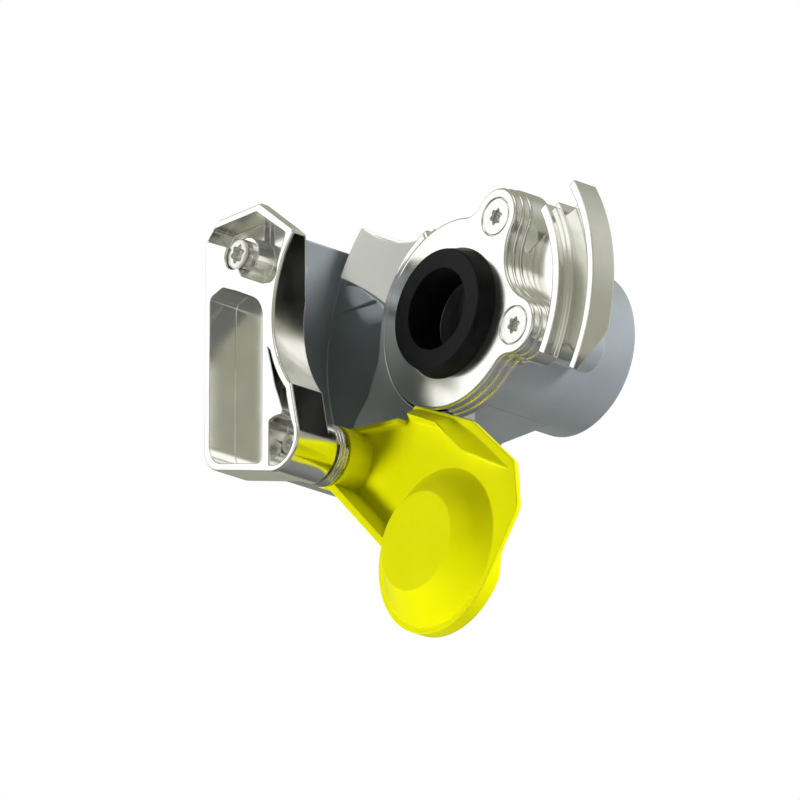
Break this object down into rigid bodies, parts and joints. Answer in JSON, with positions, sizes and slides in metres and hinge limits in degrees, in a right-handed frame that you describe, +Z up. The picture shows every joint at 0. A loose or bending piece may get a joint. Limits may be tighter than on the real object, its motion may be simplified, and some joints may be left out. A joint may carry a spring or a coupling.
{
  "type": "gladhand air brake coupler",
  "caption": "Palm-type air brake coupling head with a grey cast body, bright claw and guide plate, black face seal and a yellow cap swung open.",
  "frame": {"origin": "centre of the coupling seal's front face", "axes": "+Y back along the seal's axis towards the hose port, +X right seen from the front, +Z up"},
  "size_m": [0.1176, 0.084, 0.1327],
  "materials": {
    "cast_grey": "satin cast",
    "bright_metal": "polished",
    "seal_rubber": "satin",
    "screw_steel": "plated",
    "spring_steel": "bright wire",
    "yellow_plastic": "semi-gloss",
    "valve_brass": "machined",
    "facing_rubber": "matte",
    "guide_plastic": "matte"
  },
  "bodies": {
    "head": {"body": "cast_grey", "guide_flange": "bright_metal", "middle_plate": "bright_metal", "front_plate": "bright_metal", "seal_ring": "seal_rubber", "plate_screw_upper": "screw_steel", "plate_screw_lower": "screw_steel", "claw": "bright_metal", "claw_screw": "screw_steel", "pivot_bolt": "screw_steel", "pivot_sleeve": "screw_steel", "thrust_washer": "screw_steel", "cover_spring": "spring_steel", "seat_ring": "screw_steel", "valve_guide": "guide_plastic", "valve_spring": "spring_steel", "flange_o_ring": "facing_rubber"},
    "cap": {"cover": "yellow_plastic"},
    "valve": {"valve_poppet": "valve_brass", "valve_facing": "facing_rubber", "facing_washer": "screw_steel", "facing_screw": "screw_steel"}
  },
  "joints": [
    {"name": "cover_hinge", "type": "hinge", "parent": "head", "child": "cap", "pos_m": [-0.0333, 0, -0.0371], "axis": [0, -1, 0], "range_deg": [0, 92.2]},
    {"name": "valve_slide", "type": "slide", "parent": "head", "child": "valve", "axis": [0, 1, 0], "range_m": [0, 0.004], "stiffness_N_per_m": 1500, "springref_m": -0.005, "deforming": ["valve_spring"]}
  ]
}
